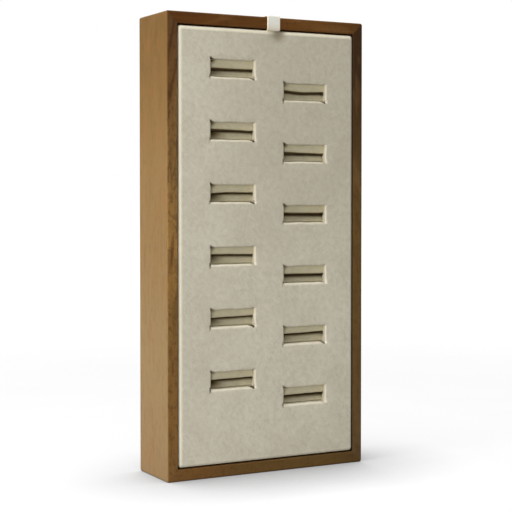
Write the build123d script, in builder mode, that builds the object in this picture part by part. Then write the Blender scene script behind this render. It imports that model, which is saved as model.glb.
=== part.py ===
from build123d import *
import os

# Ring display tray: a mitred wooden frame with a lift-out, cloth-covered pad of twelve ring slots.
# Millimetres. X is the width, -Y the front, +Z up. The tray stands on its short bottom edge, and the
# origin is the middle of its footprint.

os.makedirs("parts", exist_ok=True)

# Tray
tray_width = 122
tray_height = 250
tray_depth = 37  # with the felt on the back
wall = 6.4  # thickness of the frame's four members
corner_round = 1.2
front_edge_round = 1.0
inner_edge_round = 0.5
back_edge_round = 0.4
base_thick = 3.0
base_rebate = 3.2  # how far the base board is let into each member
felt_thick = 0.8
felt_inset = 1.0
ledge_width = 6.0
ledge_clear = 0.2  # between the ledges and the pad's back

# Pad
side_gap = 0.6
end_gap = 1.1
pad_depth = 22
pad_edge_round = 1.3
pad_corner_round = 1.6
pad_back_round = 0.5
cover_thick = 0.7
foam_thick = 1.6
board_thick = 2.0
card_thick = 2.0  # the pad's side walls
back_card_thick = 1.0
hem_width = 9  # cover turned over onto the back card

# Ring slots: two columns, the right one set lower
slots_per_column = 6
slot_width = 28
slot_height = 9.3
slot_pitch = 33.7
left_column_x = -21.4
left_column_top = 221.0
right_column_x = 23.6
right_column_top = 209.6
slot_edge_round = 1.0
flap_width = 2.5  # cover turned in through a slot and glued behind the board

# Lips: two padded rolls behind each slot, which grip the ring between them
lip_length = 33
lip_depth = 12
lip_land = 3.0  # part of a lip that is glued behind the board
lip_crown = 0.8  # how far a lip swells forward into its slot
slit_half = 0.25
upper_set_back = 0.9  # how far the upper roll curves away into the slit
lower_set_back = 1.8  # the lower one sits further back, in the upper one's shade
lip_shoulder = 0.8
lip_back_round = 2.0
lip_side_clear = 0.3
lip_crown_room = 0.1  # the swelling's outline stands this far ahead of the crown

# Pull ribbon
ribbon_x = 3.4
ribbon_width = 8
ribbon_thick = 0.5
ribbon_clear = 0.3
ribbon_bend = 0.6
ribbon_glued = 14  # length glued down the pad's back
ribbon_over_top = 16
ribbon_notch = 1.1  # depth of the relief in the top ledge
notch_side_clear = 1

# Planes across the depth, from the front to the back
front = -(tray_depth - ribbon_clear - ribbon_thick) / 2
frame_back = front + tray_depth - felt_thick
base_front = frame_back - base_thick
foam_front = front + cover_thick
board_front = foam_front + foam_thick
board_back = board_front + board_thick
flap_back = board_back + cover_thick
pad_back = front + pad_depth
hem_front = pad_back - cover_thick
back_card_front = hem_front - back_card_thick
ledge_front = pad_back + ledge_clear

inner_width = tray_width - 2 * wall
inner_height = tray_height - 2 * wall
pad_width = inner_width - 2 * side_gap
pad_height = inner_height - 2 * end_gap
core_width = pad_width - 2 * cover_thick
core_height = pad_height - 2 * cover_thick
core_corner_round = pad_corner_round - cover_thick
middle = (0, tray_height / 2)

left_column = [(left_column_x, left_column_top - row * slot_pitch) for row in range(slots_per_column)]
right_column = [(right_column_x, right_column_top - row * slot_pitch) for row in range(slots_per_column)]
slot_centres = left_column + right_column


def across(y):
    # A plane parallel to the tray's front; sketches on it are drawn in (x, z).
    return Plane.XZ.offset(-y)


def slab(width, height, front_y, back_y, corner=0, mode=Mode.ADD):
    # A sheet centred on the tray's front, from one depth to another.
    with BuildSketch(across(front_y)) as outline:
        with Locations(middle):
            if corner:
                RectangleRounded(width, height, corner)
            else:
                Rectangle(width, height)
    extrude(outline.sketch, amount=front_y - back_y, mode=mode)


def at_slots(margin, front_y, back_y, mode=Mode.SUBTRACT):
    # The twelve slot outlines, grown by a margin, cut or added between two depths.
    with BuildSketch(across(front_y)) as outlines:
        with Locations(*slot_centres):
            Rectangle(slot_width + 2 * margin, slot_height + 2 * margin)
    extrude(outlines.sketch, amount=front_y - back_y, mode=mode)


def bar(x_range, z_range, front_y, back_y, mode=Mode.ADD):
    # A strip given by its ends in x, z and depth.
    with BuildSketch(across(front_y)) as section:
        with Locations((sum(x_range) / 2, sum(z_range) / 2)):
            Rectangle(x_range[1] - x_range[0], z_range[1] - z_range[0])
    extrude(section.sketch, amount=front_y - back_y, mode=mode)


def save(piece, label):
    piece.part.label = label
    export_step(piece.part, f"parts/{label}.step")


# Frame: one moulded outline, cut into four members at 45 degrees
with BuildPart() as frame_outline:
    slab(tray_width, tray_height, front, frame_back, corner_round)
    slab(inner_width, inner_height, front, frame_back, mode=Mode.SUBTRACT)
    front_face = frame_outline.faces().sort_by(Axis.Y)[0]
    fillet(front_face.inner_wires().edges(), inner_edge_round)
    fillet(frame_outline.faces().sort_by(Axis.Y)[0].outer_wire().edges(), front_edge_round)
    fillet(frame_outline.faces().sort_by(Axis.Y)[-1].outer_wire().edges(), back_edge_round)
    rebate_width = inner_width + 2 * base_rebate
    rebate_height = inner_height + 2 * base_rebate
    slab(rebate_width, rebate_height, base_front, frame_back, mode=Mode.SUBTRACT)

half_width = tray_width / 2
mitre_top_left = Plane(origin=(-half_width, 0, tray_height), z_dir=(-1, 0, -1))
mitre_top_right = Plane(origin=(half_width, 0, tray_height), z_dir=(1, 0, -1))
mitre_bottom_left = Plane(origin=(-half_width, 0, 0), z_dir=(-1, 0, 1))
mitre_bottom_right = Plane(origin=(half_width, 0, 0), z_dir=(1, 0, 1))

with BuildPart() as left_stile:
    add(frame_outline.part)
    split(bisect_by=mitre_top_left, keep=Keep.TOP)
    split(bisect_by=mitre_bottom_left, keep=Keep.TOP)
    split(bisect_by=Plane.YZ, keep=Keep.BOTTOM)
save(left_stile, "left_stile")

with BuildPart() as right_stile:
    mirror(left_stile.part, about=Plane.YZ)
save(right_stile, "right_stile")

with BuildPart() as top_rail:
    add(frame_outline.part)
    split(bisect_by=mitre_top_left, keep=Keep.BOTTOM)
    split(bisect_by=mitre_top_right, keep=Keep.BOTTOM)
save(top_rail, "top_rail")

with BuildPart() as bottom_rail:
    add(frame_outline.part)
    split(bisect_by=mitre_bottom_left, keep=Keep.BOTTOM)
    split(bisect_by=mitre_bottom_right, keep=Keep.BOTTOM)
save(bottom_rail, "bottom_rail")

# Base board in the frame's rebate, and the felt glued over the whole back
with BuildPart() as base_board:
    slab(rebate_width, rebate_height, base_front, frame_back)
save(base_board, "base_board")

with BuildPart() as back_felt:
    felt_size = (tray_width - 2 * felt_inset, tray_height - 2 * felt_inset)
    slab(*felt_size, frame_back, front + tray_depth, corner_round)
save(back_felt, "back_felt")

# Ledges that stop the pad flush with the frame's front
ledge_left = -inner_width / 2
ledge_bottom = wall
ledge_top = tray_height - wall

with BuildPart() as left_ledge:
    bar((ledge_left, ledge_left + ledge_width), (ledge_bottom, ledge_top), ledge_front, base_front)
save(left_ledge, "left_ledge")

with BuildPart() as right_ledge:
    bar((-ledge_left - ledge_width, -ledge_left), (ledge_bottom, ledge_top), ledge_front, base_front)
save(right_ledge, "right_ledge")

ledge_between = (ledge_left + ledge_width, -ledge_left - ledge_width)

with BuildPart() as bottom_ledge:
    bar(ledge_between, (ledge_bottom, ledge_bottom + ledge_width), ledge_front, base_front)
save(bottom_ledge, "bottom_ledge")

with BuildPart() as top_ledge:
    bar(ledge_between, (ledge_top - ledge_width, ledge_top), ledge_front, base_front)
    notch_half = ribbon_width / 2 + notch_side_clear
    notch_across = (ribbon_x - notch_half, ribbon_x + notch_half)
    notch_back = ledge_front + ribbon_notch
    bar(notch_across, (ledge_top - ledge_width, ledge_top), ledge_front, notch_back, Mode.SUBTRACT)
save(top_ledge, "top_ledge")

# Pad core: foam on a slotted board, with card walls and a back card that close it
with BuildPart() as pad_foam:
    slab(core_width, core_height, foam_front, board_front, core_corner_round)
    foam_edges = pad_foam.faces().sort_by(Axis.Y)[0].outer_wire().edges()
    fillet(foam_edges, pad_edge_round - cover_thick)
    at_slots(cover_thick, foam_front, board_front)
save(pad_foam, "pad_foam")

with BuildPart() as pad_board:
    slab(core_width, core_height, board_front, board_back, core_corner_round)
    at_slots(cover_thick, board_front, board_back)
save(pad_board, "pad_board")

core_left = -core_width / 2
core_bottom = tray_height / 2 - core_height / 2
core_top = core_bottom + core_height

with BuildPart() as pad_wall_left:
    bar((core_left, core_left + card_thick), (core_bottom, core_top), board_back, back_card_front)
    fillet(pad_wall_left.edges().filter_by(Axis.Y).group_by(Axis.X)[0], core_corner_round)
save(pad_wall_left, "pad_wall_left")

with BuildPart() as pad_wall_right:
    mirror(pad_wall_left.part, about=Plane.YZ)
save(pad_wall_right, "pad_wall_right")

between_walls = (core_left + card_thick, -core_left - card_thick)

with BuildPart() as pad_wall_bottom:
    bar(between_walls, (core_bottom, core_bottom + card_thick), board_back, back_card_front)
save(pad_wall_bottom, "pad_wall_bottom")

with BuildPart() as pad_wall_top:
    bar(between_walls, (core_top - card_thick, core_top), board_back, back_card_front)
save(pad_wall_top, "pad_wall_top")

with BuildPart() as pad_back_card:
    slab(core_width, core_height, back_card_front, hem_front, core_corner_round)
save(pad_back_card, "pad_back_card")

# Pad cover: one skin over the front and sides, hemmed over the back card, and turned in through every
# slot as a collar that ends in a flap glued behind the board
with BuildPart() as pad_cover:
    slab(pad_width, pad_height, front, pad_back)
    fillet(pad_cover.edges().filter_by(Axis.Y), pad_corner_round)
    fillet(pad_cover.faces().sort_by(Axis.Y)[0].edges(), pad_edge_round)
    offset(amount=-cover_thick, openings=pad_cover.faces().sort_by(Axis.Y)[-1])
    slab(core_width + cover_thick, core_height + cover_thick, hem_front, pad_back, core_corner_round)
    hem_opening = (core_width - 2 * hem_width, core_height - 2 * hem_width)
    slab(*hem_opening, hem_front, pad_back, mode=Mode.SUBTRACT)
    fillet(pad_cover.faces().sort_by(Axis.Y)[-1].outer_wire().edges(), pad_back_round)
    at_slots(cover_thick, foam_front, board_back, Mode.ADD)
    at_slots(cover_thick + flap_width, board_back, flap_back, Mode.ADD)
    at_slots(0, front, flap_back)
    fillet(pad_cover.faces().sort_by(Axis.Y)[0].inner_wires().edges(), slot_edge_round)
save(pad_cover, "pad_cover")


def build_lip(centre_x, centre_z, side, set_back):
    # One padded roll; side is +1 for the upper lip and -1 for the lower.
    at_slit = centre_z + side * slit_half
    at_slot_edge = centre_z + side * slot_height / 2
    at_outside = at_slot_edge + side * lip_land
    crown = ((at_slit + at_slot_edge) / 2, flap_back - lip_crown)
    slit_point = (flap_back + set_back, at_slit)
    edge_point = (flap_back, at_slot_edge)
    back = flap_back + lip_depth
    with BuildPart() as lip:
        with BuildSketch(Plane.YZ.offset(centre_x - lip_length / 2)):
            with BuildLine():
                ThreePointArc(slit_point, (crown[1], crown[0]), edge_point)
                Polyline(edge_point, (flap_back, at_outside), (back, at_outside), (back, at_slit), slit_point)
            make_face()
        extrude(amount=lip_length)
        fillet(lip.edges().filter_by(Axis.X).group_by(Axis.Y)[-1], lip_back_round)
        # the swelling stops inside the slot, and the ends stay flat behind the board
        with BuildSketch(Plane.XY.offset(min(at_slit, at_outside))):
            with Locations((centre_x, (flap_back + back) / 2)):
                Rectangle(lip_length, lip_depth)
            with Locations((centre_x, flap_back)):
                swelling = (slot_width - 2 * lip_side_clear, 2 * (lip_crown + lip_crown_room))
                RectangleRounded(*swelling, lip_shoulder)
        extrude(amount=abs(at_outside - at_slit), mode=Mode.INTERSECT)
    return lip


for number, (slot_x, slot_z) in enumerate(slot_centres, start=1):
    upper_lip = build_lip(slot_x, slot_z, 1, upper_set_back)
    save(upper_lip, f"upper_lip_{number:02d}")
    lower_lip = build_lip(slot_x, slot_z, -1, lower_set_back)
    save(lower_lip, f"lower_lip_{number:02d}")

# Pull ribbon: glued to the pad's back, brought forward over its top and folded over the frame's top rail
with BuildPart() as pull_ribbon:
    pad_top = tray_height / 2 + pad_height / 2
    half_thick = ribbon_thick / 2
    behind = pad_back + half_thick
    on_pad = pad_top + half_thick
    ahead = front - ribbon_clear - half_thick
    over_rail = tray_height + ribbon_clear + half_thick
    route = [
        (behind, pad_top - ribbon_glued),
        (behind, on_pad),
        (ahead, on_pad),
        (ahead, over_rail),
        (front + ribbon_over_top, over_rail),
    ]
    with BuildSketch(Plane.YZ.offset(ribbon_x - ribbon_width / 2)):
        with BuildLine():
            FilletPolyline(*route, radius=ribbon_bend)
        trace(line_width=ribbon_thick)
    extrude(amount=ribbon_width)
save(pull_ribbon, "pull_ribbon")
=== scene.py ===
import math

import bpy
from mathutils import Matrix, Vector, noise


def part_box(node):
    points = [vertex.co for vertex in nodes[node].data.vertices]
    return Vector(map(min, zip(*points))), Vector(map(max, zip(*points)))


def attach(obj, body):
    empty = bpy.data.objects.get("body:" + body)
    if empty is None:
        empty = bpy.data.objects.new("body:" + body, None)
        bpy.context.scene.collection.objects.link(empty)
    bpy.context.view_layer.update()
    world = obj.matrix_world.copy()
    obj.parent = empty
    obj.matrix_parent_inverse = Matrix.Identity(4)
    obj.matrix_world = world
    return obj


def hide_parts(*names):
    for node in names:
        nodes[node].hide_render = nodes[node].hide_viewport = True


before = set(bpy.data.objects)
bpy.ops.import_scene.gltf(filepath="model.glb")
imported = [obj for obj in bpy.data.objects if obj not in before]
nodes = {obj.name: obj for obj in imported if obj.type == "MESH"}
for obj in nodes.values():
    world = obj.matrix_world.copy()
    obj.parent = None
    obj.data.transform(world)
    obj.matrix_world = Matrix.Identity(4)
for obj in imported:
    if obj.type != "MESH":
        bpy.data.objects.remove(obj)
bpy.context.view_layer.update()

# Ring display tray: a wooden frame with a cloth-covered pad of twelve ring slots.
# -Y is the front and +Z is up. Shapes are worked out in millimetres and scaled at the end.
mm = 0.001
print("frame loaded:", len(nodes), "nodes")


def boxOf(node):
    low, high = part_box(node)
    return [value / mm for value in low], [value / mm for value in high]


def paint(red, green, blue):  # a screen colour, 0 to 255, as Blender's linear one
    linear = []
    for value in (red, green, blue):
        value = value / 255
        linear.append(value / 12.92 if value < 0.04045 else ((value + 0.055) / 1.055) ** 2.4)
    return (*linear, 1.0)


def soften(value):  # 0 to 1, level at both ends
    value = min(max(value, 0.0), 1.0)
    return value * value * (3 - 2 * value)


def ripple(x, z, size, layer=0.0):  # soft unevenness from -1 to 1, about size mm across
    return noise.noise(Vector((x / size + layer, 7.31 * layer + 0.5, z / size - layer)))


def threePoint(left, middle, right, share):  # a value that passes through three, from left to right
    if share < 0.5:
        return left + (middle - left) * soften(share * 2)
    return middle + (right - middle) * soften(share * 2 - 1)


def newMaterial(name):
    material = bpy.data.materials.new(name)
    material.use_nodes = True
    material.node_tree.nodes.clear()
    return material


def addNode(material, kind, inputs=None, **settings):
    # inputs maps a socket's name or number to a value, or to another node's output
    made = material.node_tree.nodes.new(kind)
    for setting, value in settings.items():
        setattr(made, setting, value)
    for socket, value in (inputs or {}).items():
        if isinstance(value, bpy.types.NodeSocket):
            material.node_tree.links.new(value, made.inputs[socket])
        else:
            made.inputs[socket].default_value = value
    return made


def placeTexture(material, scale=(1, 1, 1), turn=(0, 0, 0), shift=0.0):
    # object coordinates in metres, turned, scaled and moved along by shift mm
    coords = addNode(material, "ShaderNodeTexCoord")
    turned = addNode(material, "ShaderNodeMapping", {
        0: coords.outputs["Object"], "Rotation": turn, "Location": (shift * mm, 0, shift * mm)})
    placed = addNode(material, "ShaderNodeMapping", {0: turned.outputs[0], "Scale": scale})
    return placed.outputs[0]


def cloud(material, place, size, detail=2.0, roughness=0.5, distortion=0.0):  # noise, size mm across
    made = addNode(material, "ShaderNodeTexNoise", {
        "Vector": place, "Scale": 1 / (size * mm), "Detail": detail,
        "Roughness": roughness, "Distortion": distortion})
    return made.outputs[0]


def remap(material, value, low, high, newLow=0.0, newHigh=1.0, kind="SMOOTHSTEP"):
    made = addNode(material, "ShaderNodeMapRange", {
        "Value": value, "From Min": low, "From Max": high, "To Min": newLow, "To Max": newHigh},
        interpolation_type=kind)
    return made.outputs[0]


def mixColours(material, share, first, second, how="MIX"):
    made = addNode(material, "ShaderNodeMix", {0: share, 6: first, 7: second},
                   data_type="RGBA", blend_type=how)
    return made.outputs[2]


def calculate(material, how, first, second):
    return addNode(material, "ShaderNodeMath", {0: first, 1: second}, operation=how).outputs[0]


def objectPlace(material):  # x, y and z of the surface, in metres
    coords = addNode(material, "ShaderNodeTexCoord")
    return addNode(material, "ShaderNodeSeparateXYZ", {0: coords.outputs["Object"]}).outputs


def placeRamp(material, axis, stops):  # colours along an axis; stops are (place in mm, colour)
    lowest, highest = stops[0][0], stops[-1][0]
    share = remap(material, objectPlace(material)[axis], lowest * mm, highest * mm, kind="LINEAR")
    ramp = addNode(material, "ShaderNodeValToRGB", {0: share})
    elements = ramp.color_ramp.elements
    elements[0].color = paint(*stops[0][1])
    elements[-1].color = paint(*stops[-1][1])
    for place, colour in stops[1:-1]:
        elements.new((place - lowest) / (highest - lowest)).color = paint(*colour)
    return ramp.outputs[0]


def finishSurface(material, colour, roughness, bump=None, bumpDepth=0.1, sockets=None):
    # bump is a height from 0 to 1, and bumpDepth its full depth in mm
    inputs = {"Base Color": colour, "Roughness": roughness, **(sockets or {})}
    if bump is not None:
        made = addNode(material, "ShaderNodeBump", {
            "Height": bump, "Distance": bumpDepth * mm, "Strength": 1.0})
        inputs["Normal"] = made.outputs[0]
    shader = addNode(material, "ShaderNodeBsdfPrincipled", inputs)
    addNode(material, "ShaderNodeOutputMaterial", {0: shader.outputs[0]})
    return material


wood = {
    # front colours along each member, and the stiles' side colours: (place in mm, colour)
    "leftFront": [(0, (121, 88, 48)), (20, (131, 95, 50)), (90, (133, 98, 52)), (125, (160, 120, 65)),
                  (160, (138, 104, 58)), (215, (113, 80, 43)), (250, (93, 64, 36))],
    "rightFront": [(0, (92, 71, 43)), (20, (104, 81, 47)), (60, (103, 78, 42)), (130, (109, 82, 42)),
                   (165, (94, 70, 37)), (190, (78, 58, 30)), (215, (57, 37, 16)), (250, (57, 37, 15))],
    "topFront": [(-61, (94, 56, 19)), (-10, (97, 60, 22)), (30, (109, 71, 30)), (61, (91, 60, 25))],
    "bottomFront": [(-61, (124, 88, 46)), (-38, (117, 82, 42)), (-18, (106, 78, 40)),
                    (30, (103, 77, 39)), (61, (92, 69, 34))],
    # the side's paler colour is partly the wood's own and partly painted sheen
    "side": [(0, (144, 116, 78)), (20, (146, 119, 80)), (60, (147, 121, 81)), (125, (140, 110, 67)),
             (168, (136, 106, 62)), (212, (122, 90, 43)), (250, (111, 80, 34))],
    "darkFigure": (66, 38, 14),
    "paleFigure": (168, 126, 76),
    "redPatch": (146, 98, 52),
    "pore": (48, 28, 12),
    "inside": (52, 36, 20),  # painted shade on the stiles' faces towards the pad, down the narrow gap
    "figureFrom": (80, 120),  # the figure grows stronger between these heights
    "outerFace": (57, 59),    # how far from the middle a face counts as an outer side
    # sizes in mm, across the grain: the front's, then the side's, then the pores in both
    "marks": 8.0, "patches": 2.6, "streaks": 1.6, "bands": 9.0, "clouds": 8.0, "flecks": 1.8, "pores": 0.35,
    "roughness": (0.45, 0.58), "relief": 0.025,
}


def makeWood(name, frontStops, grain, figure, lean=0.0, shift=0.0):
    # grain is the member's long axis; figure is how strongly the front is marked, and lean its slant
    material = newMaterial(name)

    def along(share):  # stretches a texture along the grain
        return (1, 1, share) if grain == "Z" else (share, 1, 1)

    def stain(colour, value, low, high, most, second):
        share = remap(material, value, low, high, 0.0, most)
        return mixColours(material, share, colour, paint(*second))

    # the front: slanting figure, darker patches and long streaks
    dark, pale = wood["darkFigure"], wood["paleFigure"]
    low, high = wood["figureFrom"]
    strength = remap(material, objectPlace(material)["Z"], low * mm, high * mm, 0.35, 1.0)
    slanted = placeTexture(material, along(0.16), (0, lean, 0), shift)
    marks = cloud(material, slanted, wood["marks"], 3.0, 0.6, 1.2)
    upright = placeTexture(material, (1, 1, 0.75), shift=shift)
    patches = cloud(material, upright, wood["patches"], 2.0, 0.6, 0.8)
    streaks = cloud(material, placeTexture(material, along(0.07), shift=shift), wood["streaks"], 3.0, 0.65)
    plain = placeRamp(material, grain, frontStops)
    marked = stain(plain, marks, 0.48, 0.6, figure, dark)
    marked = stain(marked, marks, 0.46, 0.3, figure * 0.5, pale)
    front = mixColours(material, strength, plain, marked)
    front = stain(front, patches, 0.48, 0.66, 0.12 + figure * 0.4, dark)
    front = stain(front, streaks, 0.5, 0.75, 0.3, dark)

    # the outer side: smooth and golden, with broad soft patches; its paler colour is partly the wood's own
    # and partly painted sheen
    bands = cloud(material, placeTexture(material, along(0.07), shift=shift), wood["bands"], 2.0)
    clouds = cloud(material, placeTexture(material, along(0.5), shift=shift), wood["clouds"], 3.0)
    flecks = cloud(material, placeTexture(material, along(0.4), shift=shift), wood["flecks"], 2.0, 0.6)
    side = placeRamp(material, grain, wood["side"]) if grain == "Z" else front
    side = stain(side, bands, 0.35, 0.65, 0.1, pale)
    side = stain(side, clouds, 0.5, 0.7, 0.25, wood["redPatch"])
    side = stain(side, flecks, 0.5, 0.7, 0.14, dark)
    side = stain(side, clouds, 0.46, 0.3, 0.08, dark)
    side = stain(side, streaks, 0.5, 0.8, 0.08, dark)

    # which way the face looks, and on which side of the stile it is
    coords = addNode(material, "ShaderNodeTexCoord")
    facing = addNode(material, "ShaderNodeSeparateXYZ", {0: coords.outputs["Normal"]})
    sideways = calculate(material, "ABSOLUTE", facing.outputs["X"], 0.0)
    sideways = remap(material, sideways, 0.35, 0.85)
    fromMiddle = calculate(material, "ABSOLUTE", objectPlace(material)["X"], 0.0)
    outside = remap(material, fromMiddle, wood["outerFace"][0] * mm, wood["outerFace"][1] * mm)
    inside = calculate(material, "MULTIPLY", sideways, calculate(material, "SUBTRACT", 1.0, outside))
    sideways = calculate(material, "MULTIPLY", sideways, outside)
    colour = mixColours(material, sideways, front, side)
    # painted shade: the faces towards the pad are darkened as if shaded in the narrow gap
    colour = mixColours(material, inside, colour, paint(*wood["inside"]))

    pores = cloud(material, placeTexture(material, along(0.02)), wood["pores"])
    poreShare = calculate(material, "MULTIPLY", remap(material, pores, 0.62, 0.74, 0.0, 0.22),
                          remap(material, sideways, 0.0, 1.0, 1.0, 0.55))
    colour = mixColours(material, poreShare, colour, paint(*wood["pore"]))
    shine = remap(material, streaks, 0.3, 0.7, *wood["roughness"])
    relief = calculate(material, "ADD", calculate(material, "MULTIPLY", streaks, 0.5), pores)
    return finishSurface(material, colour, shine, relief, wood["relief"], {"Specular IOR Level": 0.1})


leftWood = makeWood("leftStileWood", wood["leftFront"], "Z", 0.65, -0.12, 31)
rightWood = makeWood("rightStileWood", wood["rightFront"], "Z", 0.3, 0.1, 66)
topWood = makeWood("topRailWood", wood["topFront"], "X", 0.3, shift=13)
bottomWood = makeWood("bottomRailWood", wood["bottomFront"], "X", 0.25, shift=27)

cover = {
    "cell": 1.0,            # size of the mesh on the open front, in mm as all the others
    "edgeRound": 1.3, "backRound": 0.5, "hem": 9.0,
    "slotCount": 12, "slotHalf": (14.0, 4.65),
    "leftIn": 0.5,          # the cloth fills a slot's left edge a little
    "rightIn": (0.9, 0.7),  # and its right edge more, which leans back this far with its depth
    "ringReach": 4.0,       # a slot disturbs the cloth this far out
    "sideFold": 0.8, "bottomFold": 1.45,  # how round the cloth turns in
    "collarDepth": 4.9, "flap": 2.2,
    # mesh rings: this far out from a slot's edge on the flat, and this deep in its collar
    "flatRings": (3.3, 2.7, 2.2, 1.8, 1.6), "collarRings": (2.0, 3.0, 4.0, 4.6),
    "wave": 0.27, "waveSize": 5.5,       # uneven line of the slots' edges
    "dip": 0.16, "dipReach": 1.5,        # the cloth draws in towards a slot
    "crease": 0.12,                      # soft creases that fan out from a slot's corners
    "unevenness": 0.1, "unevenSize": 16.0,
    # the snipped corners, as (across, up): from the tip of the nick to its wide end, measured from the
    # corner, half the wide end's width, and how strong it is in each slot; a nick is sunk and darkened with
    # painted shade
    "nickDepth": 1.4, "nickOverFoam": 0.1,  # shallower where the foam lies under the cloth
    "nicks": {
        (-1, 1): ((-0.6, 1.4), (2.2, -1.2), 1.3,
                  (1.2, 1.0, 0.9, 0.7, 0.7, 0.7, 0.7, 1.0, 0.8, 0.6, 0.6, 0.7)),
        (1, 1): ((-1.6, 0.7), (-1.8, -0.3), 0.5,
                 (0.6, 0.3, 0.3, 0.2, 0.5, 0.4, 0.3, 0.2, 0.0, 0.0, 0.3, 0.0)),
        (-1, -1): ((-0.3, -1.9), (0.2, 0.4), 0.7,
                   (0.4, 0.2, 0.3, 1.1, 0.7, 1.2, 0.8, 0.5, 0.2, 0.3, 0.5, 0.6)),
        (1, -1): ((-5.0, 0.7), (-1.6, -0.15), 1.0,
                  (1.5, 1.3, 1.3, 0.3, 1.3, 1.3, 1.0, 0.3, 0.2, 0.2, 0.7, 0.2)),
    },
    # dent where the ribbon was pressed: place across and up, reach, depth
    "dent": (6.8, 241.4, 7.4, 0.6),
    # the pad is a little fuller than its card: how far it stands out to the right, left, top and bottom
    "bulge": (0.5, -0.1, 0.25, 0.3),
    "slotLight": 0.36, "rimLight": 0.65,  # strength of the painted highlight on a slot's lit folds, and at the start of the pad's edge
}

cloth = {
    "cover": (217, 210, 191), "coverShade": (194, 186, 163), "coverPale": (229, 224, 208),
    "lip": (212, 204, 174), "lipShade": (194, 184, 152), "lipPale": (220, 207, 186),
    "broad": 26.0, "mottle": 3.0, "brush": 1.2, "nap": 0.6,  # sizes in mm
    "roughness": 0.94, "relief": 0.2,
    "pressedNapShade": (150, 140, 116),  # the nap crushed under the ribbon, darkened further as painted shade of the dent
    "foldHighlight": (255, 247, 222),   # painted highlight on the pad's lit edges and the slots' lit folds
    "recessShade": (68, 54, 25),      # painted shade down in a slot's nicked corners and beside the slit
    "paintedSlitShade": (108, 84, 26),     # painted shade between the two lips, at the lower roll's left and in the upper roll's corner
    # painted shade: the cover is greyer towards its upper right, where the light falls off: the tint, and
    # where it comes in, across and upwards
    "falloffTint": (240, 239, 237), "falloffAcross": (-50, 10), "falloffUp": (80, 210),
    # faint strokes where the nap was brushed: their width, how each set leans and how strong it is,
    # and the size of the patches that they come in
    "strokeWidth": 0.45, "strokes": ((0.6, 0.6), (-0.5, 0.5), (0.03, 0.5)), "strokePatch": 14.0,
}


def makeSuede(name, main, shade, pale, onCover):
    material = newMaterial(name)
    plain = placeTexture(material)
    broad = cloud(material, plain, cloth["broad"])
    mottle = cloud(material, plain, cloth["mottle"], 2.0, 0.5, 0.6)
    slanted = placeTexture(material, (1, 1, 0.3), (0, 0.75, 0))
    brushed = cloud(material, slanted, cloth["brush"], 3.0, 0.65, 0.8)
    nap = cloud(material, plain, cloth["nap"], 2.0, 0.6)
    colour = mixColours(material, remap(material, broad, 0.3, 0.7, 0.0, 0.3), paint(*main), paint(*shade))
    colour = mixColours(material, remap(material, mottle, 0.48, 0.68, 0.0, 0.32), colour, paint(*shade))
    colour = mixColours(material, remap(material, mottle, 0.48, 0.3, 0.0, 0.28), colour, paint(*pale))
    colour = mixColours(material, remap(material, brushed, 0.5, 0.7, 0.0, 0.4), colour, paint(*shade))
    colour = mixColours(material, remap(material, nap, 0.5, 0.7, 0.0, 0.4), colour, paint(*shade))
    relief = calculate(material, "ADD", calculate(material, "MULTIPLY", brushed, 0.7),
                       calculate(material, "MULTIPLY", nap, 0.3))
    if onCover:
        place = objectPlace(material)
        # painted shade, greyer towards the upper right where the light falls off
        paintedFalloff = calculate(material, "MULTIPLY",
                         remap(material, place["Z"], *[up * mm for up in cloth["falloffUp"]]),
                         remap(material, place["X"], *[across * mm for across in cloth["falloffAcross"]]))
        colour = mixColours(material, paintedFalloff, colour, paint(*cloth["falloffTint"]), "MULTIPLY")
        patches = remap(material, cloud(material, plain, cloth["strokePatch"], 1.0), 0.48, 0.58)
        patches = calculate(material, "MAXIMUM", patches, calculate(material, "MULTIPLY", paintedFalloff, 0.8))
        for lean, most in cloth["strokes"]:
            drawn = placeTexture(material, (1, 1, 0.1), (0, lean, 0))
            strokes = cloud(material, drawn, cloth["strokeWidth"], 1.0)
            strokes = calculate(material, "MULTIPLY", remap(material, strokes, 0.6, 0.7, 0.0, most), patches)
            colour = mixColours(material, strokes, colour, paint(*shade))
            relief = calculate(material, "SUBTRACT", relief, calculate(material, "MULTIPLY", strokes, 0.4))
        # crushed nap under the ribbon, with painted shade of the dent
        dentX, dentZ, reach, depth = cover["dent"]
        across = calculate(material, "SUBTRACT", place["X"], dentX * mm)
        up = calculate(material, "SUBTRACT", place["Z"], dentZ * mm)
        away = addNode(material, "ShaderNodeCombineXYZ", {0: across, 1: up})
        away = addNode(material, "ShaderNodeVectorMath", {0: away.outputs[0]}, operation="LENGTH")
        crushedShade = remap(material, away.outputs["Value"], reach * mm, 0.0, 0.0, 0.9)
        colour = mixColours(material, crushedShade, colour, paint(*cloth["pressedNapShade"]))
    # painted highlight and painted shade, carried in point attributes
    tints = {"paintedHighlight": "foldHighlight", "paintedRecessShade": "recessShade"} if onCover else {"paintedSlitShade": "paintedSlitShade"}
    for layer, tint in tints.items():
        share = addNode(material, "ShaderNodeAttribute", attribute_name=layer).outputs["Fac"]
        colour = mixColours(material, share, colour, paint(*cloth[tint]))
    return finishSurface(material, colour, cloth["roughness"], relief, cloth["relief"], {
        "Specular IOR Level": 0.12, "Sheen Weight": 0.12, "Sheen Roughness": 0.45,
        "Sheen Tint": paint(236, 228, 205)})


coverSuede = makeSuede("coverSuede", cloth["cover"], cloth["coverShade"], cloth["coverPale"], True)
lipSuede = makeSuede("lipSuede", cloth["lip"], cloth["lipShade"], cloth["lipPale"], False)

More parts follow.
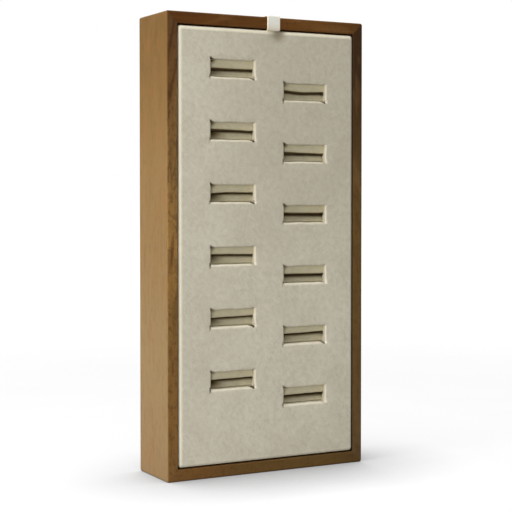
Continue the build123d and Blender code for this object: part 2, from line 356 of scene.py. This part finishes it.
plainFinishes = {
    # colour, darker colour, size of the unevenness in mm, roughness, relief in mm and stretch
    "backFelt": ((88, 62, 46), (58, 38, 28), 1.6, 0.95, 0.25, (1, 1, 1)),
    "ledgeWood": ((196, 164, 118), (160, 122, 78), 2.4, 0.7, 0.05, (1, 1, 0.08)),
    "baseBoard": ((178, 148, 106), (142, 110, 72), 3.0, 0.75, 0.05, (1, 1, 0.1)),
    "greyCard": ((172, 166, 154), (146, 140, 128), 1.2, 0.85, 0.04, (1, 1, 1)),
    "padFoam": ((232, 226, 204), (210, 200, 172), 0.9, 0.9, 0.2, (1, 1, 1)),
}


def makePlainFinish(name, main, shade, size, roughness, depth, stretch):
    material = newMaterial(name)
    place = placeTexture(material, stretch)
    coarse = cloud(material, place, size, 3.0, 0.6)
    fine = cloud(material, place, size * 0.22, 2.0, 0.6)
    colour = mixColours(material, remap(material, coarse, 0.35, 0.7), paint(*main), paint(*shade))
    colour = mixColours(material, remap(material, fine, 0.5, 0.8, 0.0, 0.35), colour, paint(*shade))
    relief = calculate(material, "ADD", coarse, fine)
    fuzz = {"Sheen Weight": 0.3, "Sheen Roughness": 0.5} if name == "backFelt" else None
    return finishSurface(material, colour, roughness, relief, depth, fuzz)


plainMaterials = {name: makePlainFinish(name, *look) for name, look in plainFinishes.items()}
finishes = {
    "left_stile": leftWood, "right_stile": rightWood, "top_rail": topWood, "bottom_rail": bottomWood,
    "base_board": plainMaterials["baseBoard"], "back_felt": plainMaterials["backFelt"],
    "pad_foam": plainMaterials["padFoam"],
}
for name, node in nodes.items():
    finish = finishes.get(name, plainMaterials["ledgeWood" if "ledge" in name else "greyCard"])
    node.data.materials.clear()
    node.data.materials.append(finish)
print("materials made and laid on the packed nodes")


def makePiece(name, points, faces, material, body="pad"):
    mesh = bpy.data.meshes.new(name)
    mesh.from_pydata([Vector(point) * mm for point in points], [], faces)
    mesh.polygons.foreach_set("use_smooth", [True] * len(mesh.polygons))
    mesh.materials.append(material)
    mesh.update()
    piece = bpy.data.objects.new(name, mesh)
    bpy.context.scene.collection.objects.link(piece)
    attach(piece, body)
    return piece


# the pad's cover: one skin over the front and the sides, turned in through every slot

padLow, padHigh = boxOf("pad_cover")
padFront, padBack = padLow[1], padHigh[1]
padCentre = ((padLow[0] + padHigh[0]) / 2, (padLow[2] + padHigh[2]) / 2)
padHalf = ((padHigh[0] - padLow[0]) / 2, (padHigh[2] - padLow[2]) / 2)

slotCentres = []  # halfway between the two lips
for number in range(1, cover["slotCount"] + 1):
    upperLow, upperHigh = boxOf(f"upper_lip_{number:02d}")
    lowerHigh = boxOf(f"lower_lip_{number:02d}")[1]
    slotCentres.append(((upperLow[0] + upperHigh[0]) / 2, (upperLow[2] + lowerHigh[2]) / 2))


def lineStops(low, high, centres, reach):
    # the places that mesh lines have to pass through
    stops = {round(low, 4), round(high, 4)}
    for centre in centres:
        stops |= {round(centre - reach, 4), round(centre + reach, 4)}
    return sorted(stops)


def divide(stops, cell):
    lines = [stops[0]]
    for low, high in zip(stops, stops[1:]):
        count = max(1, round((high - low) / cell))
        lines += [low + (high - low) * step / count for step in range(1, count + 1)]
    return lines


def walkRound(iLow, iHigh, jLow, jHigh):  # grid places round a rectangle, from its lower left
    walk = [(i, jLow) for i in range(iLow, iHigh)]
    walk += [(iHigh, j) for j in range(jLow, jHigh)]
    walk += [(i, jHigh) for i in range(iHigh, iLow, -1)]
    walk += [(iLow, j) for j in range(jHigh, jLow, -1)]
    return walk


def joinRings(faces, outer, inner, closed=True):
    count = len(outer)
    for here in range(count if closed else count - 1):
        after = (here + 1) % count
        corners = []
        for corner in (outer[here], outer[after], inner[after], inner[here]):
            if corner not in corners:
                corners.append(corner)
        if len(corners) > 2:
            faces.append(corners)


def wedge(place, tip, wideEnd, halfWidth):  # 1 inside a wedge, falling to 0 at its sides
    axis = wideEnd - tip
    along = (place - tip).dot(axis) / axis.length_squared
    aside = abs((place - tip).cross(axis)) / axis.length
    if not 0 < along < 1.3:
        return 0.0
    return soften((halfWidth * min(along, 1) + 0.2 - aside) / 0.35) * soften((1.3 - along) / 0.2)


def crowd(share):  # bunches points towards both ends of an edge
    return 0.4 * share + 0.6 * (0.5 - 0.5 * math.cos(math.pi * share))


def makeCover():
    points, faces, gridPoints = [], [], {}
    paintedRecessShade, paintedHighlight = {}, {}
    edge = cover["edgeRound"]
    quarter = [math.pi / 2 * step / 6 for step in range(7)]  # the angles of a rounded edge
    flatHalf = (padHalf[0] - edge, padHalf[1] - edge)
    ringHalf = [half + cover["ringReach"] for half in cover["slotHalf"]]
    xLines = divide(lineStops(padCentre[0] - flatHalf[0], padCentre[0] + flatHalf[0],
                              [centre[0] for centre in slotCentres], ringHalf[0]), cover["cell"])
    zLines = divide(lineStops(padCentre[1] - flatHalf[1], padCentre[1] + flatHalf[1],
                              [centre[1] for centre in slotCentres], ringHalf[1]), cover["cell"])

    def addPoint(x, y, z):
        points.append((x, y, z))
        return len(points) - 1

    def gridPoint(i, j):
        if (i, j) not in gridPoints:
            gridPoints[i, j] = addPoint(xLines[i], padFront + frontRise(xLines[i], zLines[j]), zLines[j])
        return gridPoints[i, j]

    def frontRise(x, z):  # how far the front stands back from its plane
        rise = cover["unevenness"] * (0.5 + 0.5 * ripple(x, z, cover["unevenSize"], 3.0))
        dentX, dentZ, reach, depth = cover["dent"]
        away = math.hypot((x - dentX) / reach, (z - dentZ) / reach)
        return rise + depth * soften(1 - away)

    def nearest(lines, value):
        return min(range(len(lines)), key=lambda index: abs(lines[index] - value))

    # the open front, less the places round the slots
    taken = set()
    slotSpans = []
    for centreX, centreZ in slotCentres:
        span = (nearest(xLines, centreX - ringHalf[0]), nearest(xLines, centreX + ringHalf[0]),
                nearest(zLines, centreZ - ringHalf[1]), nearest(zLines, centreZ + ringHalf[1]))
        slotSpans.append(span)
        taken |= {(i, j) for i in range(span[0], span[1]) for j in range(span[2], span[3])}
    for i in range(len(xLines) - 1):
        for j in range(len(zLines) - 1):
            if (i, j) not in taken:
                corners = ((i, j), (i + 1, j), (i + 1, j + 1), (i, j + 1))
                faces.append([gridPoint(*corner) for corner in corners])

    # round each slot: flat rings, the fold, the collar and the hidden flap
    for number, ((centreX, centreZ), span) in enumerate(zip(slotCentres, slotSpans)):
        walk = walkRound(*span)
        iCount, jCount = span[1] - span[0], span[3] - span[2]
        halfX, halfZ = cover["slotHalf"]
        edgePlaces = []
        for i, j in walk:
            acrossShare = crowd((i - span[0]) / iCount) * 2 - 1
            upShare = crowd((j - span[2]) / jCount) * 2 - 1
            right = soften(acrossShare * 8 - 7)
            filled = cover["leftIn"] * soften(-acrossShare * 8 - 7) - cover["rightIn"][0] * right
            edgePlaces.append((centreX + halfX * acrossShare + filled, centreZ + halfZ * upShare,
                               cover["rightIn"][1] * right))

        def ringAt(distance, depth, folded=False):
            ring = []
            for (i, j), (edgeX, edgeZ, lean) in zip(walk, edgePlaces):
                out, deep = distance, depth
                if folded:  # the fold is rounder along the slot's lower edge
                    lowness = soften(1 - (j - span[2]) / jCount * 2.5)
                    loose = cover["sideFold"] + (cover["bottomFold"] - cover["sideFold"]) * lowness
                    out, deep = distance * loose, depth * loose
                share = 1 - out / cover["ringReach"]
                x = xLines[i] + (edgeX - xLines[i]) * share
                z = zLines[j] + (edgeZ - zLines[j]) * share
                if out < 0:  # the flap spreads out again behind the board
                    x = edgeX * (2 - share) + xLines[i] * (share - 1)
                    z = edgeZ * (2 - share) + zLines[j] * (share - 1)
                x += lean * min(deep / cover["collarDepth"], 1)
                hold = soften(1 - abs(out) / 3.0)
                x += cover["wave"] * 0.6 * hold * ripple(edgeX, edgeZ, cover["waveSize"], 11.0 + number)
                z += cover["wave"] * hold * ripple(edgeX, edgeZ, cover["waveSize"], 31.0 + number)
                y = padFront + deep + frontRise(x, z) * (1 if deep == 0 else 0.5)
                y += cover["dip"] * math.exp(-max(out, 0) / cover["dipReach"]) * (1 if deep < 2 else 0)
                dark = soften(deep * 1.2 - 4) * soften(2 - abs(z - centreZ) * 1.4)  # painted shade deep in the collar beside the slit
                for corner, (tip, wideEnd, halfWidth, strengths) in cover["nicks"].items():
                    toCorner = Vector((x - centreX - corner[0] * halfX, z - centreZ - corner[1] * halfZ))
                    if out < 0 or toCorner.length > 5:
                        continue
                    nick = strengths[number] * wedge(toCorner, Vector(tip), Vector(wideEnd), halfWidth)
                    # painted shade down in the nick
                    dark = max(dark, min(1.0, nick * 1.2) * soften((2.5 - deep) / 1.2))
                    sunk = min(cover["nickDepth"] * nick, cover["nickOverFoam"] + 3 * max(0.0, 0.5 - out))
                    sunk *= max(0.0, 1 - deep / 4.6)
                    turn = math.atan2(toCorner.y, toCorner.x)
                    fan = math.sin(turn * 4 + number * 2.3 + corner[0]) * soften(1 - toCorner.length / 4)
                    y += sunk + cover["crease"] * fan * soften(toCorner.length - 0.7) * min(out, 1)
                ring.append(addPoint(x, y, z))
                paintedRecessShade[ring[-1]] = dark
                # painted highlight on a slot's right wall and bottom fold
                lit = max(soften((x - centreX) - halfX + 2), soften(centreZ - z - halfZ + 1.5))
                lit *= soften(deep * 2.5 + 0.1) * (1 if out >= 0 else 0)
                paintedHighlight[ring[-1]] = cover["slotLight"] * lit
            return ring

        rings = [(distance, 0, False) for distance in cover["flatRings"]]
        rings += [(1 - math.sin(angle), 1 - math.cos(angle), True) for angle in quarter]
        rings += [(0, depth, False) for depth in (*cover["collarRings"], cover["collarDepth"])]
        rings += [(distance, cover["collarDepth"] + 0.1, False) for distance in (-0.5, -cover["flap"])]
        previous = [gridPoint(i, j) for i, j in walk]
        for distance, depth, folded in rings:
            ring = ringAt(distance, depth, folded)
            joinRings(faces, previous, ring)
            previous = ring

    # over the pad's edge, down its sides and under as a hem
    iLast, jLast = len(xLines) - 1, len(zLines) - 1
    rim = []
    sides = [([(i, 0) for i in range(iLast + 1)], -math.pi / 2),
             ([(iLast, j) for j in range(jLast + 1)], 0.0),
             ([(i, jLast) for i in range(iLast, -1, -1)], math.pi / 2),
             ([(0, j) for j in range(jLast, -1, -1)], math.pi)]
    for places, angle in sides:
        rim += [(place, angle) for place in places]
        rim += [(places[-1], angle + turn) for turn in quarter[1:-1]]

    def litEdge(x, z, angle):  # painted highlight: the top and left edges catch the light, but not where the ribbon presses
        facing = 0.2 + 0.8 * max(0.0, math.sin(angle)) + 0.5 * max(0.0, -math.cos(angle))
        fromDent = math.hypot(x - cover["dent"][0], z - cover["dent"][1]) / cover["dent"][2]
        return min(1.0, facing) * soften(1.6 * fromDent - 0.3)

    # painted highlight begins on the flat, just inside the pad's edge
    for (i, j), angle in rim:
        paintedHighlight[gridPoint(i, j)] = cover["rimLight"] * litEdge(xLines[i], zLines[j], angle)

    def rimRing(reach, y, shrink=0.0):
        ring = []
        for (i, j), angle in rim:
            towardsX, towardsZ = math.cos(angle), math.sin(angle)
            x = xLines[i] + reach * towardsX
            z = zLines[j] + reach * towardsZ
            fullness = soften((y - padFront) / edge) * soften((padBack - y) / 6) if shrink == 0 else 0
            slack = 0.12 * (0.5 + 0.5 * ripple(x + y, z + y, 13.0, 8.0)) * min(1, (y - padFront) / 4)
            right, left, top, bottom = cover["bulge"]
            x += (right if towardsX > 0 else left) * towardsX * fullness - slack * towardsX
            z += (top if towardsZ > 0 else bottom) * towardsZ * fullness - slack * towardsZ
            x = padCentre[0] + (x - padCentre[0]) * (1 - shrink / padHalf[0])
            z = padCentre[1] + (z - padCentre[1]) * (1 - shrink / padHalf[1])
            dented = frontRise(x, z) * max(0, 1 - (y - padFront) / 3) if shrink == 0 else 0
            ring.append(addPoint(x, y + dented, z))
            # painted highlight over the rounded top and left edges
            bright = soften(1.2 - abs(y - padFront - 0.6 * edge) / edge) if shrink == 0 else 0
            paintedHighlight[ring[-1]] = bright * litEdge(x, z, angle)
        return ring

    previous = [gridPoint(i, j) for (i, j), angle in rim]
    for angle in quarter[1:]:
        ring = rimRing(edge * math.sin(angle), padFront + edge * (1 - math.cos(angle)))
        joinRings(faces, ring, previous)
        previous = ring
    skirtRows = 12
    back = cover["backRound"]
    for row in range(1, skirtRows + 1):
        y = padFront + edge + (padBack - back - padFront - edge) * row / skirtRows
        ring = rimRing(edge, y)
        joinRings(faces, ring, previous)
        previous = ring
    for angle in (math.pi / 6, math.pi / 3, math.pi / 2):
        ring = rimRing(edge - back * (1 - math.cos(angle)), padBack - back + back * math.sin(angle))
        joinRings(faces, ring, previous)
        previous = ring
    for shrink in (1.0, 2.5, 4.5, 6.5, cover["hem"] - back):
        ring = rimRing(edge - back, padBack, shrink)
        joinRings(faces, ring, previous)
        previous = ring
    return points, faces, {"paintedRecessShade": paintedRecessShade, "paintedHighlight": paintedHighlight}


points, faces, marks = makeCover()
padCover = makePiece("padCover", points, faces, coverSuede)
for name, strengths in marks.items():
    layer = padCover.data.attributes.new(name, "FLOAT", "POINT")
    for index, strength in strengths.items():
        layer.data[index].value = strength
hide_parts("pad_cover")
print("cover made:", len(points), "points")

lips = {
    "stations": 44, "half": 16.5,
    "swellingEnds": ((13.6, 1.8), (14.1, 0.4)),   # where it ends at the left and right, and how softly
    "upperCrown": 1.6, "lowerCrown": 0.5,         # how far a roll swells forward
    "tuck": 0.9,                                  # the lower roll's crease against the bottom fold
    "hidden": 2.2,                                # from the front, the cover hides this much at the left
    "slitRound": 1.6,                      # the upper roll's turn into the slit
    "grooveDepth": 3.2,                    # the rolls meet this far behind their fronts
    "cornerPull": 2.2,                     # the upper roll is drawn back at its upper left corner
    "land": 3.0, "depth": 12.0, "backRound": 2.0,
    "pucker": 0.12, "puckerSize": 2.6,
    "faceSteps": 24, "faceStart": 0.35,    # a roll's face starts this far under the cover
    "flapThick": 0.7,                      # the cover's flap, which the lips are glued to
    # for each slot, in mm: the slit's height at the left, middle and right; the gap at the left and right;
    # how far the lower roll sinks towards the slit, at the left and right; how strong the painted shade is at
    # its left
    "slots": [
        (-0.2, -0.3, -0.2, 1.1, 0.8, 5.0, 2.0, 0.65),
        (0.5, 0.3, 0.0, 1.4, 0.7, 7.0, 2.0, 1.15),
        (-0.5, 0.2, 0.1, 1.0, 0.6, 6.4, 1.8, 0.9),
        (0.3, 0.2, -0.1, 0.9, 0.8, 6.4, 2.0, 0.7),
        (-0.6, -0.2, 0.0, 0.9, 0.6, 6.6, 2.0, 0.6),
        (-0.7, -0.4, -0.2, 1.2, 0.8, 7.4, 2.2, 1.1),
        (0.8, -0.1, 0.3, 0.9, 1.1, 2.4, 2.0, 0.25),
        (-0.1, -0.3, -0.5, 1.6, 0.8, 3.0, 2.0, 0.3),
        (0.0, -0.3, -0.4, 1.4, 1.6, 3.2, 2.6, 0.25),
        (-0.5, -0.6, -0.7, 1.6, 1.3, 3.2, 2.6, 0.25),
        (-0.1, 0.1, 0.4, 1.1, 1.1, 4.4, 2.2, 0.35),
        (-0.9, -0.7, -0.6, 1.4, 1.5, 3.4, 2.6, 0.3),
    ],
}
landPlane = boxOf("pad_board")[1][1] + lips["flapThick"]  # the plane that the lips are glued against


def lipFront(side, away, atSlit, sink, fromLeft):
    # how far a roll's face stands ahead of the land plane, at a distance from the slot's middle
    fromEdge = cover["slotHalf"][1] - away
    length = cover["slotHalf"][1] - atSlit
    if side > 0:  # flat and full, with a tight turn into the slit
        rise = soften((fromEdge + 0.4) / 0.3)
        turn = max(0.0, (fromEdge - length) / lips["slitRound"] + 1)
        pulled = lips["cornerPull"] * math.exp(-(max(fromLeft, 0.0) / 1.3) ** 2 - max(fromEdge, 0.0) / 1.3)
        turned = lips["slitRound"] * (1 - math.sqrt(max(0.0, 1 - turn * turn)))
        return lips["upperCrown"] * rise - pulled - turned
    share = min(max(fromEdge / length, 0.0), 1.0)  # fullest near the slot's lower edge, then curving away
    bow = (1 - abs(2 * share ** 0.62 - 1) ** 2.4) ** (1 / 2.2)
    return lips["lowerCrown"] * bow - lips["tuck"] * math.exp(-max(fromEdge, 0.0) / 0.4) - sink * share ** 1.3


def slitShade(side, fromSlit, fromEdge, fromLeft, leftDark, nicked):
    # how strong the painted shade is on a roll's face: by the slit, along its left end, and in a corner there
    if side > 0:
        bySlit = soften(1 - fromSlit / 0.3)
        corner = nicked * soften(1 - math.hypot(fromLeft, fromEdge * 1.3) / (3 + nicked))
    else:
        bySlit = 0.85 * soften(1 - fromSlit / 1.3)
        corner = leftDark * soften(1.2 - fromLeft / 9) * (0.45 + 0.55 * soften(1 - fromSlit / 3.8))
    return min(1.0, max(bySlit, corner, 0.45 * soften(1 - fromLeft / 1.2)))


def makeLip(number, side):
    # side is 1 for the upper roll and -1 for the lower
    centreX, centreZ = slotCentres[number]
    slitLeft, slitMiddle, slitRight, gapLeft, gapRight, sinkLeft, sinkRight, leftDark = lips["slots"][number]
    # the upper-left nick's strength also sets the painted shade in the upper roll's corner
    nicked = cover["nicks"][-1, 1][-1][number]
    slotEdge, outside = cover["slotHalf"][1], cover["slotHalf"][1] + lips["land"]
    start = slotEdge + lips["faceStart"]
    back, roundBack = lips["depth"], lips["backRound"]
    turns = [math.radians(angle) for angle in (0, 30, 60, 90)]
    grooveShares = (0.25, 0.5, 0.75, 1.0)
    points, faces, shades, previous = [], [], [], None
    last, faceSteps = lips["stations"], lips["faceSteps"]
    for station in range(last + 1):
        across = -math.cos(math.pi * station / last) * 0.35 + (2 * station / last - 1) * 0.65
        x = centreX + lips["half"] * across
        inSlot = min(max((x - centreX) / cover["slotHalf"][0], -1), 1) * 0.5 + 0.5
        slit = threePoint(slitLeft, slitMiddle, slitRight, inSlot) + 0.08 * ripple(x, centreZ, 3.5, 2.0)
        gap = gapLeft + (gapRight - gapLeft) * inSlot
        sink = sinkLeft + (sinkRight - sinkLeft) * soften(inSlot * 2.2)
        atSlit = side * slit + gap / 2  # distances from the slot's middle line, towards this lip
        end, ease = lips["swellingEnds"][0 if x < centreX else 1]
        swelling = soften((end - abs(x - centreX)) / ease)
        fromLeft = x - centreX + cover["slotHalf"][0] - lips["hidden"]
        section = []
        for step in range(faceSteps + 1):
            away = start + (atSlit - start) * (0.5 - 0.5 * math.cos(math.pi * step / faceSteps))
            ahead = lipFront(side, away, atSlit, sink, fromLeft)
            ahead *= swelling if ahead > 0 else 1
            puckered = ripple(x, away * side + centreZ, lips["puckerSize"], 17.0 + side)
            ahead += lips["pucker"] * swelling * puckered
            section.append((-ahead if step else 0.0, away))
            shades.append(slitShade(side, away - atSlit, slotEdge - away, fromLeft, leftDark, nicked))
        slitFront = section[-1][0]
        meet = side * slit + 0.05  # where the two rolls touch
        groove = max(slitFront, 0.0) + lips["grooveDepth"]
        section += [(slitFront + (groove - slitFront) * share, atSlit + (meet - atSlit) * share ** 1.5)
                    for share in grooveShares]
        shades += [1.0] * len(grooveShares)
        section += [(back - roundBack * (1 - math.sin(turn)), meet + roundBack * (1 - math.cos(turn)))
                    for turn in turns]
        section += [(back - roundBack * (1 - math.sin(turn)), outside - roundBack * (1 - math.cos(turn)))
                    for turn in reversed(turns)]
        section += [(back * 0.5, outside), (0.05, outside), (0.05, outside - 1.5)]
        shades += [0.0] * (len(section) * (station + 1) - len(shades))
        ring = []
        for y, away in section:
            points.append((x, landPlane + y, centreZ + side * away))
            ring.append(len(points) - 1)
        if side < 0:
            ring.reverse()
        if previous:
            joinRings(faces, previous, ring)
        else:
            faces.append(ring[::-1])
        previous = ring
    faces.append(previous)
    return points, faces, shades


for number in range(len(slotCentres)):
    for side, word in ((1, "upper"), (-1, "lower")):
        points, faces, shades = makeLip(number, side)
        lip = makePiece(f"{word}Lip{number + 1:02d}", points, faces, lipSuede)
        lip.data.attributes.new("paintedSlitShade", "FLOAT", "POINT").data.foreach_set("value", shades)
        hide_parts(f"{word}_lip_{number + 1:02d}")
print("lips made:", 2 * len(slotCentres))

ribbon = {
    "bend": 0.6, "thick": 0.44, "selvedge": 0.55, "glued": 14.0, "overTop": 16.0,
    "packedThick": 0.5,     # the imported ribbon, whose middle this one follows
    "columns": 20,
    "colour": (255, 253, 242), "shade": (232, 231, 214), "rib": 0.42,
    "edge": (252, 240, 218), "tuckedShade": (206, 186, 146),  # its selvedges, and painted shade where it goes in behind the pad
    "selvedgeFrom": (3.0, 3.5),  # from the middle, in mm
    "aside": -0.4,          # how far it has slipped to the left
}


def roundedPath(corners, radius, steps=6):
    # the (y, z) points of a bent strip, with the run between two bends divided too
    path = [Vector(corners[0])]
    for before, corner, after in zip(corners, corners[1:], corners[2:]):
        before, corner, after = Vector(before), Vector(corner), Vector(after)
        into, out = (corner - before).normalized(), (after - corner).normalized()
        start, end = corner - into * radius, corner + out * radius
        runStart = path[-1].copy()
        runSteps = max(2, round((start - runStart).length / 0.7))
        path += [runStart.lerp(start, step / runSteps) for step in range(1, runSteps + 1)]
        centre = start + out * radius
        for step in range(1, steps + 1):
            angle = math.pi / 2 * step / steps
            path.append(centre - out * radius * math.cos(angle) + into * radius * math.sin(angle))
        path[-1] = end
    runStart, end = path[-1].copy(), Vector(corners[-1])
    runSteps = max(2, round((end - runStart).length / 0.7))
    path += [runStart.lerp(end, step / runSteps) for step in range(1, runSteps + 1)]
    return path


def makeRibbon():
    low, high = boxOf("pull_ribbon")
    thick, columns = ribbon["packedThick"], ribbon["columns"]
    frontY, backY = low[1] + thick / 2, high[1] - thick / 2
    topZ, padTop = high[2] - thick / 2, padHigh[2] + thick / 2
    corners = [(backY, padHigh[2] - ribbon["glued"]), (backY, padTop), (frontY, padTop), (frontY, topZ),
               (padFront + ribbon["overTop"], topZ)]
    path = roundedPath(corners, ribbon["bend"])
    points, faces, previous = [], [], None
    halfWidth = (high[0] - low[0]) / 2
    middleX = (low[0] + high[0]) / 2
    for index, place in enumerate(path):
        ahead = path[min(index + 1, len(path) - 1)] - path[max(index - 1, 0)]
        ahead.normalize()
        outward = Vector((ahead.y, -ahead.x))
        aside = ribbon["aside"] + 0.06 * ripple(index * 0.7, 3.0, 5.0, 9.0)
        ring = []
        for face in (1, -1):
            for column in range(columns + 1)[::face]:
                across = 2 * column / columns - 1
                edge = soften((abs(across) - 0.84) / 0.1)
                half = (ribbon["thick"] + (ribbon["selvedge"] - ribbon["thick"]) * edge) / 2
                half *= 1 if abs(across) < 0.99 else 0.45
                lift = 0.05 * ripple(across * 4, index * 0.7, 4.0, 6.0)
                moved = place + outward * (half * face + lift)
                points.append((middleX + halfWidth * across * 0.99 + aside, moved.x, moved.y))
                ring.append(len(points) - 1)
        if previous:
            joinRings(faces, ring, previous)
        else:
            faces.append(ring)
        previous = ring
    faces.append(previous[::-1])
    return points, faces


def makeRibbonFinish():
    # fine ribs across the strip, and smooth firm selvedges
    material = newMaterial("pullRibbon")
    place = objectPlace(material)
    along = calculate(material, "ADD", place["Y"], place["Z"])
    turns = calculate(material, "MULTIPLY", along, 2 * math.pi / (ribbon["rib"] * mm))
    ribs = calculate(material, "SINE", turns, 0.0)
    low, high = boxOf("pull_ribbon")
    middle = (low[0] + high[0]) / 2 + ribbon["aside"]
    offCentre = calculate(material, "SUBTRACT", place["X"], middle * mm)
    offCentre = calculate(material, "ABSOLUTE", offCentre, 0.0)
    selvedge = remap(material, offCentre, *[edge * mm for edge in ribbon["selvedgeFrom"]])
    threads = cloud(material, placeTexture(material), 0.3)
    ribbed = calculate(material, "SUBTRACT", 1.0, selvedge)
    between = calculate(material, "MULTIPLY", remap(material, ribs, -1, 1, 0.6, 0.1), ribbed)
    colour = mixColours(material, between, paint(*ribbon["colour"]), paint(*ribbon["shade"]))
    threads = remap(material, threads, 0.5, 0.8, 0.0, 0.4)
    colour = mixColours(material, threads, colour, paint(*ribbon["shade"]))
    colour = mixColours(material, selvedge, colour, paint(*ribbon["edge"]))
    # painted shade towards the pad's top, where the ribbon goes in behind it
    tuckedShade = remap(material, place["Z"], (padHigh[2] + 5.0) * mm, (padHigh[2] - 0.5) * mm, 0.0, 0.55)
    colour = mixColours(material, tuckedShade, colour, paint(*ribbon["tuckedShade"]))
    relief = calculate(material, "MULTIPLY", ribs, ribbed)
    return finishSurface(material, colour, 0.42, relief, 0.05, {
        "Specular IOR Level": 0.7, "Sheen Weight": 0.25})


points, faces = makeRibbon()
pullRibbon = makePiece("pullRibbon", points, faces, makeRibbonFinish())
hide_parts("pull_ribbon")
print("ribbon made")

studio = {
    "floorSize": 14.0,
    "floorBounce": (172, 172, 172),  # the floor's colour for the light it throws on the object
    "floorSeen": (120, 120, 121),    # under its glow, for the camera
    "glow": (0.81, 1.0),             # the floor's own light round the object, and far away
    "glowFrom": (0.3, 1.2),          # which it passes between, in metres from the object
    "shadeReach": 0.067,             # how far the object shades it, in metres
    "shadeStrength": 1.1,
    "shadeLean": (-0.05, 0.3, 0.9),  # the open side that the floor's light comes from
    "ambient": 0.26,
    "aim": (0, 0, 0.12),             # what the lamps point at
    # lamps: place, side in metres and power in watts
    "lamps": {
        "frontSoftbox": ((-0.50, -0.75, 0.20), 0.5, 2.55),
        "leftSoftbox": ((-0.83, -0.10, 0.29), 0.5, 5.0),
        "topSoftbox": ((-0.20, -0.16, 1.39), 0.8, 12.5),
    },
}


def seenDirectly(material):  # 1 for the camera and for what is seen in metal or through glass
    rays = addNode(material, "ShaderNodeLightPath")
    direct = calculate(material, "MAXIMUM", rays.outputs["Is Camera Ray"], rays.outputs["Is Glossy Ray"])
    return calculate(material, "MAXIMUM", direct, rays.outputs["Is Transmission Ray"])


def makeFloor():
    # the camera sees a glowing white floor that the object shades where it is near; other rays see a grey one
    material = newMaterial("studioFloor")
    grey = remap(material, cloud(material, placeTexture(material), 60.0), 0.3, 0.7, 0.0, 0.05)
    bounce = addNode(material, "ShaderNodeBsdfDiffuse", {"Color": paint(*studio["floorBounce"])})
    seenColour = mixColours(material, grey, paint(*studio["floorSeen"]), paint(*studio["floorBounce"]))
    seen = addNode(material, "ShaderNodeBsdfDiffuse", {"Color": seenColour})
    openSide = addNode(material, "ShaderNodeCombineXYZ", dict(zip("XYZ", studio["shadeLean"])))
    openness = addNode(material, "ShaderNodeAmbientOcclusion", {
        "Distance": studio["shadeReach"], "Normal": openSide.outputs[0]}, samples=16)
    coords = addNode(material, "ShaderNodeTexCoord")
    away = addNode(material, "ShaderNodeVectorMath", {0: coords.outputs["Object"]}, operation="LENGTH")
    glowing = remap(material, away.outputs["Value"], *studio["glowFrom"], *studio["glow"])
    shaded = calculate(material, "POWER", openness.outputs["AO"], studio["shadeStrength"])
    glowing = calculate(material, "MULTIPLY", glowing, shaded)
    glow = addNode(material, "ShaderNodeEmission", {"Color": (1, 1, 1, 1), "Strength": glowing})
    lit = addNode(material, "ShaderNodeAddShader", {0: seen.outputs[0], 1: glow.outputs[0]})
    both = addNode(material, "ShaderNodeMixShader", {
        0: seenDirectly(material), 1: bounce.outputs[0], 2: lit.outputs[0]})
    addNode(material, "ShaderNodeOutputMaterial", {0: both.outputs[0]})
    half = studio["floorSize"] / 2
    corners = [(-half, -half, 0), (half, -half, 0), (half, half, 0), (-half, half, 0)]
    mesh = bpy.data.meshes.new("studioFloor")
    mesh.from_pydata(corners, [], [(0, 1, 2, 3)])
    mesh.materials.append(material)
    floor = bpy.data.objects.new("studioFloor", mesh)
    bpy.context.scene.collection.objects.link(floor)


def makeWorld():
    world = bpy.data.worlds.new("studioWorld")
    bpy.context.scene.world = world
    world.use_nodes = True
    world.node_tree.nodes.clear()
    strength = remap(world, seenDirectly(world), 0.0, 1.0, studio["ambient"], 1.0, "LINEAR")
    background = addNode(world, "ShaderNodeBackground", {"Color": (1, 1, 1, 1), "Strength": strength})
    addNode(world, "ShaderNodeOutputWorld", {0: background.outputs[0]})


def makeLamps():
    for name, (place, side, power) in studio["lamps"].items():
        lamp = bpy.data.lights.new(name, "AREA")
        lamp.shape = "SQUARE"
        lamp.size = side
        lamp.energy = power
        softbox = bpy.data.objects.new(name, lamp)
        bpy.context.scene.collection.objects.link(softbox)
        softbox.location = place
        aim = Vector(studio["aim"]) - softbox.location
        softbox.rotation_euler = aim.to_track_quat("-Z", "Y").to_euler()


def makeCamera():
    view = {
        "place": (-0.35539, -0.66598, 0.15435),  # metres
        "turn": 28.22, "tilt": 1.63,             # degrees to the right of straight on, and down
        "sensor": 36, "focal": 1346.73 / 512,    # in mm, and as a share of the picture's width
        "shift": -0.05,
    }
    lens = bpy.data.cameras.new("photoView")
    lens.sensor_width = view["sensor"]
    lens.lens = view["focal"] * view["sensor"]
    lens.shift_y = view["shift"]
    lens.clip_start = 0.01
    camera = bpy.data.objects.new("photoView", lens)
    bpy.context.scene.collection.objects.link(camera)
    camera.location = view["place"]
    turn = Matrix.Rotation(math.radians(-view["turn"]), 3, "Z")
    tilt = Matrix.Rotation(math.radians(90 - view["tilt"]), 3, "X")
    camera.rotation_euler = (turn @ tilt).to_euler()
    bpy.context.scene.camera = camera


makeFloor()
makeWorld()
makeLamps()
makeCamera()
bpy.context.scene.view_settings.view_transform = "Standard"
print("floor, light and camera placed")
